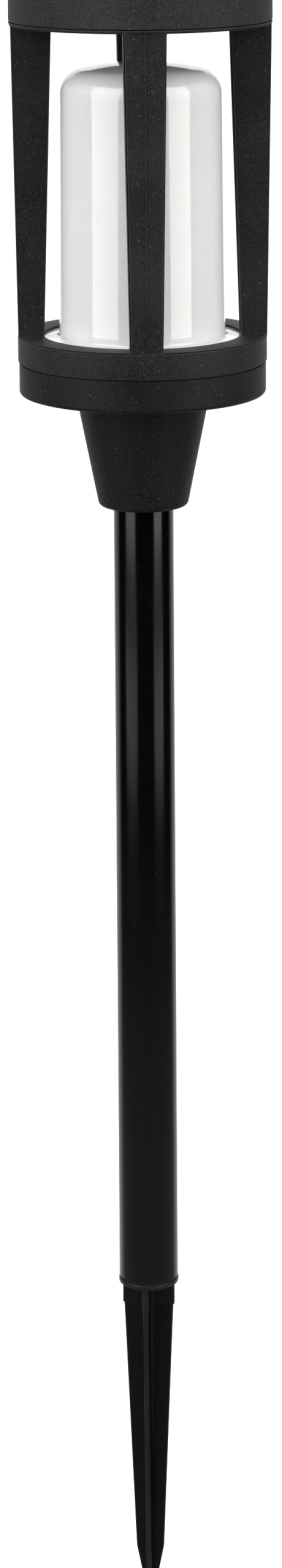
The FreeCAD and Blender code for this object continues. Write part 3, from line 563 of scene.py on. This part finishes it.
def makeStake():
    # r(t, z) = max(two crossed webs, round core, collar's disc); a web is the rounded rectangle
    # (|r cos t| / reach)^n + (|r sin t| / half)^n = 1
    s = stakeShape
    rows = stakeSections()
    z, reach, half, core, disc = (rows[:, k:k + 1] for k in range(5))
    sample = np.linspace(0, math.pi / 2, 4001)
    n = s["squareness"]

    def webRadius(t, reach, half):
        a = np.abs(np.cos(t)) / np.maximum(reach, 1e-9)
        b = np.abs(np.sin(t)) / np.maximum(half, 1e-9)
        biggest = np.maximum(a, b)
        return 1 / (biggest * ((a / biggest) ** n + (b / biggest) ** n) ** (1 / n))

    def plusRadius(t, reach, half, core):
        webs = np.maximum(webRadius(t, reach, half), webRadius(t + math.pi / 2, reach, half))
        return np.maximum(webs, core)

    # angles are spread so that the points lie evenly along the outline of a typical section
    r = plusRadius(sample, s["lowR"] * s["typicalReach"], s["web"], s["coreR"])
    x, y = r * np.cos(sample), r * np.sin(sample)
    length = np.concatenate([[0], np.cumsum(np.hypot(np.diff(x), np.diff(y)))])
    quarter = np.interp(np.linspace(0, length[-1], s["around"] // 4, endpoint=False), length, sample)
    t = np.concatenate([quarter + k * math.pi / 2 for k in range(4)])[None, :]
    radius = np.maximum(plusRadius(t, reach, half, core), disc) * (reach > 0)
    turned = t + math.radians(s["turn"])
    points = np.stack([radius * np.cos(turned), radius * np.sin(turned), z + 0 * t], -1)
    outermost = radius - s["wearFrom"] * np.maximum(reach, disc)
    wear = np.clip(outermost / (s["wearBand"] * np.maximum(reach, 1e-6)), 0, 1) * (disc + reach > 0)
    shell = (points, gridFaces(len(rows), t.size), wear)
    piece = makePiece("ground_spike", [shell], "stake", stakePlastic, sharpAngle=40)
    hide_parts("stake")


makeStake()
print("stake made")


# Cage: ring, four hollow ribs, ceiling, screw bosses and the parting line of its mould

cageShape = {
    "ringLip": 0.5 * mm, "plate": 1.1 * mm, "skirt": 2.4 * mm, "gap": 0.75 * mm, "gapDepth": 1.5 * mm,
    "openingR": 45.8 * mm, "ribProud": 0.2 * mm, "reveal": 0.5 * mm, "revealDepth": 0.8 * mm,
    "revealLip": 0.3 * mm, "ribDraft": 0.004, "faceEdge": 0.3 * mm,
    "footDepth": 12.0 * mm, "headDepth": 18.4 * mm, "footWidth": 15.0 * mm, "headWidth": 19.6 * mm,
    "ribWall": 2.2 * mm, "innerEdge": 0.6 * mm, "rootFillet": 0.6 * mm,
    "fillFrom": 1.2 * mm, "fillBand": 0.8 * mm, "buried": 1.0 * mm, "lidGapShare": 0.8,
    "fineEdge": 0.15 * mm, "edge": 0.2 * mm, "lidEdge": 0.25 * mm, "softEdge": 0.3 * mm,
    "innerCorner": 0.4 * mm, "wideEdge": 0.5 * mm,
    "bossR": 2.9 * mm, "bossBore": 1.55 * mm, "bossHang": 8.9 * mm, "bossCircle": 50.0 * mm,
    "bossBuried": 0.6 * mm,
}
lineShape = {"width": 0.32 * mm, "height": 0.14 * mm, "nubZ": 0.9 * mm, "nubLength": 0.45 * mm,
             "nubWiden": 1.6, "nubRaise": 1.8, "bendDrop": 0.3 * mm, "nubTopZ": 1.4 * mm,
             "nubEnd": (1.2, 0.9, 0.65), "wear": 0.4}
ringR = cupR + cageShape["ringLip"]
ribFootR = ringR + cageShape["ribProud"]
ribHeadR = headR - cageShape["ribProud"]


def ribSection(outerR, depth, width):
    # channel in (distance from the axis, side) coordinates, open towards the lamp
    s = cageShape
    inner, half, wall = outerR - depth, width / 2, s["ribWall"]
    back, lip = outerR - wall, half - wall
    shadow = half - s["ribDraft"] * depth          # the side walls splay out behind a narrow shadow groove
    face, bottom = shadow - s["reveal"], outerR - 2 * s["revealDepth"]
    side = [(outerR, face, s["faceEdge"]), (bottom, face, 0), (bottom, shadow, 0),
            (outerR - s["revealDepth"], shadow, 0), (inner, half, s["innerEdge"]),
            (inner, lip, s["softEdge"]), (back, lip, s["wideEdge"])]
    return roundedOutline(side + [(u, -v, fillet) for u, v, fillet in side[::-1]], steps=7)


def makeRib(angle):
    # section = foot section + (head section - foot section) times the height share, widened near both ends
    # by a quarter round; a point at distance d from the axis and side v lies at (sqrt(d^2 - v^2), v), turned
    s = cageShape
    foot = ribSection(ribFootR, s["footDepth"], s["footWidth"])
    head = ribSection(ribHeadR, s["headDepth"], s["headWidth"])
    fillet = s["rootFillet"]
    quarter = 1 - np.cos(np.linspace(0, math.pi / 2, 9))
    low = ringTopZ + fillet * quarter
    high = ceilingZ - fillet * quarter[::-1]
    z = np.concatenate([[ringTopZ - s["buried"]], low, np.linspace(low[-1], high[0], 26)[1:-1], high,
                        [ceilingZ + s["buried"]]])[:, None]
    share = (z - ringTopZ) / (ceilingZ - ringTopZ)
    near = np.minimum(np.clip(z - ringTopZ, 0, fillet), np.clip(ceilingZ - z, 0, fillet))
    flare = fillet - np.sqrt(np.clip(fillet ** 2 - (fillet - near) ** 2, 0, None))
    d = foot[None, :, 0] * (1 - share) + head[None, :, 0] * share
    v = foot[None, :, 1] * (1 - share) + head[None, :, 1] * share
    half = (s["footWidth"] * (1 - share) + s["headWidth"] * share) / 2
    v = v + np.sign(v) * flare * np.clip((np.abs(v) - half + s["fillFrom"]) / s["fillBand"], 0, 1)
    u = np.sqrt(d ** 2 - v ** 2)
    cosA, sinA = math.cos(math.radians(angle)), math.sin(math.radians(angle))
    points = np.stack([u * cosA - v * sinA, u * sinA + v * cosA, z + 0 * v], -1)
    wear = np.repeat(outlineWear(foot)[None, :], len(z), 0)
    return lofted(points, wear)


def makePartingLine(angle):
    # half-round ridge down the middle of a rib's face and on down the ring, ending in a small nub at the gap;
    # it grows at the nub by exp(-((z - nub) / length)^2)
    s = lineShape
    z = np.concatenate([np.linspace(ceilingZ, ringTopZ, 30),
                        np.linspace(ringTopZ - s["bendDrop"], seamZ + s["nubTopZ"], 12),
                        seamZ + np.array(s["nubEnd"]) * mm])[:, None]
    share = np.clip((z - ringTopZ) / (ceilingZ - ringTopZ), 0, 1)
    surface = np.where(z < ringTopZ, ringR, ribFootR * (1 - share) + ribHeadR * share)
    nub = np.exp(-((z - seamZ - s["nubZ"]) / s["nubLength"]) ** 2)
    around = np.linspace(0, 2 * math.pi, 12, endpoint=False)[None, :]
    side = s["width"] / 2 * (1 + s["nubWiden"] * nub) * np.cos(around)
    out = s["height"] * (1 + s["nubRaise"] * nub) * np.sin(around)
    u = surface + out
    cosA, sinA = math.cos(math.radians(angle)), math.sin(math.radians(angle))
    points = np.stack([u * cosA - side * sinA, u * sinA + side * cosA, z + 0 * side], -1)
    return lofted(points, np.full(points.shape[:2], s["wear"]))


def makeCage():
    s = cageShape
    plateZ, skirtR = ringTopZ - s["plate"], ringR - s["skirt"]
    gapR, gapZ, lidGapZ = ringR - s["gapDepth"], seamZ + s["gap"], capSeamZ - s["gap"] * s["lidGapShare"]
    lip, deep, lidGapR = s["revealLip"], s["revealDepth"], headR - s["gapDepth"]
    ringGroove = ringTopZ - lip - s["reveal"]
    lidGroove = ceilingZ + lip + s["reveal"]
    ring = roundedOutline([(s["openingR"], plateZ, s["edge"]), (skirtR, plateZ, s["innerCorner"]),
                           (skirtR, seamZ, s["edge"]), (gapR, seamZ, 0), (gapR, gapZ, 0),
                           (ringR, gapZ, s["softEdge"]), (ringR, ringGroove, s["edge"]),
                           (ringR - deep, ringGroove, 0), (ringR - deep, ringTopZ - lip, 0),
                           (ringR - lip, ringTopZ - lip, 0), (ringR - lip, ringTopZ, s["fineEdge"]),
                           (s["openingR"], ringTopZ, s["wideEdge"])])
    lid = roundedOutline([(0, ceilingZ, 0), (headR - lip, ceilingZ, s["fineEdge"]),
                          (headR - lip, ceilingZ + lip, 0), (headR - deep, ceilingZ + lip, 0),
                          (headR - deep, lidGroove, 0), (headR, lidGroove, s["fineEdge"]),
                          (headR, lidGapZ, s["lidEdge"]), (lidGapR, lidGapZ, 0), (lidGapR, capSeamZ, 0),
                          (0, capSeamZ, 0)], closed=False)
    bossZ, bossTopZ = ringTopZ - s["bossHang"], plateZ + s["bossBuried"]
    boss = roundedOutline([(s["bossBore"], bossZ, s["edge"]), (s["bossR"], bossZ, s["softEdge"]),
                           (s["bossR"], bossTopZ, 0), (s["bossBore"], bossTopZ, 0)])
    shells = [revolved(ring, steps=288), revolved(lid, closed=False, steps=288)]
    shells += [makeRib(angle) for angle in (0, 90, 180, 270)]
    shells += [makePartingLine(angle) for angle in (90, 270)]
    for angle in np.radians((45, 135, 225, 315)):
        at = (s["bossCircle"] * math.cos(angle), s["bossCircle"] * math.sin(angle))
        shells.append(revolved(boss, steps=32, centre=at))
    piece = makePiece("lantern_cage", shells, "head", headPlastic)
    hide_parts("cage")


makeCage()
print("cage made")


# Button under the cup

buttonShape = {"r": 4.5 * mm, "flangeR": 5.8 * mm, "flange": 1.0 * mm, "stemR": 1.8 * mm, "dish": 0.35 * mm,
               "edge": 0.9 * mm, "grip": 0.12 * mm, "gripRings": 3, "flangeZ": 2.2 * mm,
               "smallEdge": 0.2 * mm, "softEdge": 0.3 * mm, "bezelInner": 4.8 * mm,
               "bezelEdges": (0.15 * mm, 0.28 * mm)}


def makeButton():
    # face: a shallow dish with round ridges,
    # z = low + grip + dish (1 - (r/R)^2) - grip |sin(rings pi r/R)|^0.7
    s = buttonShape
    low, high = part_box("power_button")
    at = ((low.x + high.x) / 2, (low.y + high.y) / 2)
    flat = s["r"] - s["edge"]
    r = np.linspace(0, flat, 60)
    face = low.z + s["grip"] + s["dish"] * (1 - (r / flat) ** 2) - s["grip"] * np.abs(
        np.sin(s["gripRings"] * math.pi * r / flat)) ** 0.7
    flangeLow = cupBottomZ + s["flangeZ"]
    flangeTop = flangeLow + s["flange"]
    body = roundedOutline([(flat, low.z + s["grip"], 0), (s["r"], low.z + s["grip"], s["edge"] * 0.8),
                           (s["r"], flangeLow, s["smallEdge"]), (s["flangeR"], flangeLow, s["smallEdge"]),
                           (s["flangeR"], flangeTop, s["softEdge"]), (s["stemR"], flangeTop, s["softEdge"]),
                           (s["stemR"], high.z, s["softEdge"]), (0, high.z, 0)], closed=False)
    outline = np.concatenate([np.stack([r, face], -1)[:-1], body])
    piece = makePiece("button_cap", [revolved(outline, closed=False, steps=72, centre=at)], "power_button",
                      buttonRubber)
    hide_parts("power_button")
    bezelLow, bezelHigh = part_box("button_bezel")
    outerR = (bezelHigh.x - bezelLow.x) / 2
    innerEdge, outerEdge = s["bezelEdges"]
    bezel = roundedOutline([(s["bezelInner"], bezelLow.z, innerEdge), (outerR, bezelLow.z, outerEdge),
                            (outerR, bezelHigh.z, 0), (s["bezelInner"], bezelHigh.z, 0)])
    ring = makePiece("button_ring", [revolved(bezel, steps=96, centre=at)], "head",
                     buttonRubber)
    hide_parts("button_bezel")


makeButton()
print("button made")


# Solar panel: cell strips a hair below the clear cover

panelShape = {"strips": 8, "pitch": 10.2 * mm, "gap": 0.7 * mm, "sink": 0.04 * mm, "coverEdge": 0.4 * mm}


def makePanel():
    # a strip lies between two lines x = a and x = b and is rounded off by the circle y = sqrt(r^2 - x^2)
    s = panelShape
    low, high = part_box("solar_cells")
    strips = []
    for k in range(s["strips"]):
        middle = (k - (s["strips"] - 1) / 2) * s["pitch"]
        half = (s["pitch"] - s["gap"]) / 2
        x = np.clip(np.linspace(middle - half, middle + half, 17), -high.y, high.y)
        y = np.sqrt(np.clip(high.y ** 2 - x ** 2, 0, None))
        loop = np.concatenate([np.stack([x, y], -1), np.stack([x, -y], -1)[::-1]])
        levels = np.array([low.z, high.z - s["sink"]])[:, None]
        section = np.stack([loop[None, :, 0] + 0 * levels, loop[None, :, 1] + 0 * levels,
                            levels + 0 * loop[None, :, 0]], -1)
        strips.append(lofted(section))
    cells = makePiece("cell_strips", strips, "head", cellSilicon)
    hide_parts("solar_cells")
    top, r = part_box("panel_cover")[1].z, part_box("panel_cover")[1].x
    outline = roundedOutline([(0, top, 0), (r, top, s["coverEdge"]), (r, high.z, 0), (0, high.z, 0)],
                             closed=False)
    cover = makePiece("resin_cover", [revolved(outline, closed=False, steps=192)], "head",
                      clearCover)
    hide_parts("panel_cover")


makePanel()
print("panel made")


# Camera, floor and studio light

cameraPlace = {"azimuth": -2.0, "distance": 1753.9 * mm, "height": 141.3 * mm, "aside": -0.2 * mm,
               "pitch": 7.154, "roll": -0.39, "lens": 87.8, "sensor": 36, "shift": -0.3793, "farthest": 200}


def makeCamera():
    s = cameraPlace
    data = bpy.data.cameras.new("camera")
    data.lens, data.sensor_width, data.shift_y = s["lens"], s["sensor"], s["shift"]
    data.clip_end = s["farthest"]
    camera = bpy.data.objects.new("camera", data)
    bpy.context.scene.collection.objects.link(camera)
    a = math.radians(s["azimuth"])
    place = Vector((math.sin(a) * s["distance"] + math.cos(a) * s["aside"],
                    -math.cos(a) * s["distance"] + math.sin(a) * s["aside"], capSeamZ + s["height"]))
    camera.matrix_world = (Matrix.Translation(place) @ Matrix.Rotation(a, 4, "Z")
                           @ Matrix.Rotation(math.radians(90 - s["pitch"]), 4, "X")
                           @ Matrix.Rotation(math.radians(s["roll"]), 4, "Z"))
    bpy.context.scene.camera = camera


studio = {
    # name, azimuth, distance, width, height, middle's height, brightness, colour
    "boxes": [("left_softbox", -54.5, 1.5, 1.30, 2.06, 1.05, 3.5, (0.985, 0.99, 1.0)),
              ("left_falloff", -54.5, 1.5, 1.30, 0.17, -0.065, 1.8, (0.985, 0.99, 1.0)),
              ("right_softbox", 53.5, 1.5, 1.05, 2.06, 1.05, 4.1, (1.0, 0.98, 0.945)),
              ("right_falloff", 53.5, 1.5, 1.05, 0.17, -0.065, 2.1, (1.0, 0.98, 0.945))],
    "topPlace": (0, -0.2, 2.0), "topSize": 1.2, "topBrightness": 1.5, "topColour": (1.0, 1.0, 1.0),
    # glow of the world: axis, start, end, brightness at the start and at the end
    "glows": [(1, 0.3, 0.55, 0.0, 0.85), (2, -0.42, -0.29, 0.36, 0.0), (2, 0.08, 0.32, 0.0, 0.8),
              (1, 0.86, 0.94, 0.0, 1.5)],
    "floorHalf": 60.0, "floorCells": 8, "floorShade": (0.9, 0.9, 0.9, 1), "floorGlow": 0.9,
}


def makeLight(name, place, width, height, brightness, colour):
    # brightness is the lamp's own radiance: power = pi x area x radiance
    data = bpy.data.lights.new(name, "AREA")
    data.shape, data.size, data.size_y = "RECTANGLE", width, height
    data.energy, data.color = math.pi * width * height * brightness, colour
    lamp = bpy.data.objects.new(name, data)
    bpy.context.scene.collection.objects.link(lamp)
    target = Vector((0, 0, min(place.z, seamZ)))
    aim = (target - place).to_track_quat("-Z", "Y")
    lamp.matrix_world = Matrix.Translation(place) @ aim.to_matrix().to_4x4()
    lamp.visible_camera = False


def makeStudio():
    s = studio
    for name, azimuth, distance, width, height, z, brightness, colour in s["boxes"]:
        a = math.radians(azimuth)
        place = Vector((math.sin(a) * distance, -math.cos(a) * distance, z))
        makeLight(name, place, width, height, brightness, colour)
    makeLight("top_softbox", Vector(s["topPlace"]), s["topSize"], s["topSize"], s["topBrightness"],
              s["topColour"])
    world = bpy.data.worlds.new("studio")
    bpy.context.scene.world = world
    world.use_nodes = True
    background = world.node_tree.nodes["Background"]
    direction = addNode(world, "ShaderNodeTexCoord").outputs["Generated"]
    axes = addNode(world, "ShaderNodeSeparateXYZ", {0: direction})
    # the brightest of the glows and, for the camera alone, plain white
    strength = addNode(world, "ShaderNodeLightPath").outputs["Is Camera Ray"]
    for axis, start, end, atStart, atEnd in s["glows"]:
        glow = spread(world, axes.outputs[axis], atStart, atEnd, start, end)
        strength = combine(world, "MAXIMUM", strength, glow)
    world.node_tree.links.new(strength, background.inputs["Strength"])
    background.inputs["Color"].default_value = (1, 1, 1, 1)


def makeFloor():
    # pale floor at the tip of the stake
    material, shader = newMaterial("pale_floor", {"Base Color": studio["floorShade"], "Roughness": 0.9,
                                                  "Emission Color": (1, 1, 1, 1),
                                                  "Emission Strength": studio["floorGlow"]})
    half, cells = studio["floorHalf"], studio["floorCells"]
    x, y = np.meshgrid(np.linspace(-half, half, cells + 1), np.linspace(-half, half, cells + 1))
    points = np.stack([x, y, np.full(x.shape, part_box("stake")[0].z)], -1).reshape(-1, 3)
    i = np.arange(cells)[:, None] * (cells + 1) + np.arange(cells)[None, :]
    faces = np.stack([i, i + 1, i + cells + 2, i + cells + 1], -1).reshape(-1, 4)
    mesh = bpy.data.meshes.new("floor")
    mesh.from_pydata(points.tolist(), [], faces.tolist())
    mesh.materials.append(material)
    floor = bpy.data.objects.new("floor", mesh)
    bpy.context.scene.collection.objects.link(floor)
    floor.visible_glossy = floor.visible_diffuse = floor.visible_transmission = False


makeCamera()
makeStudio()
makeFloor()
bpy.context.scene.view_settings.view_transform = "Standard"
print("camera and studio made")
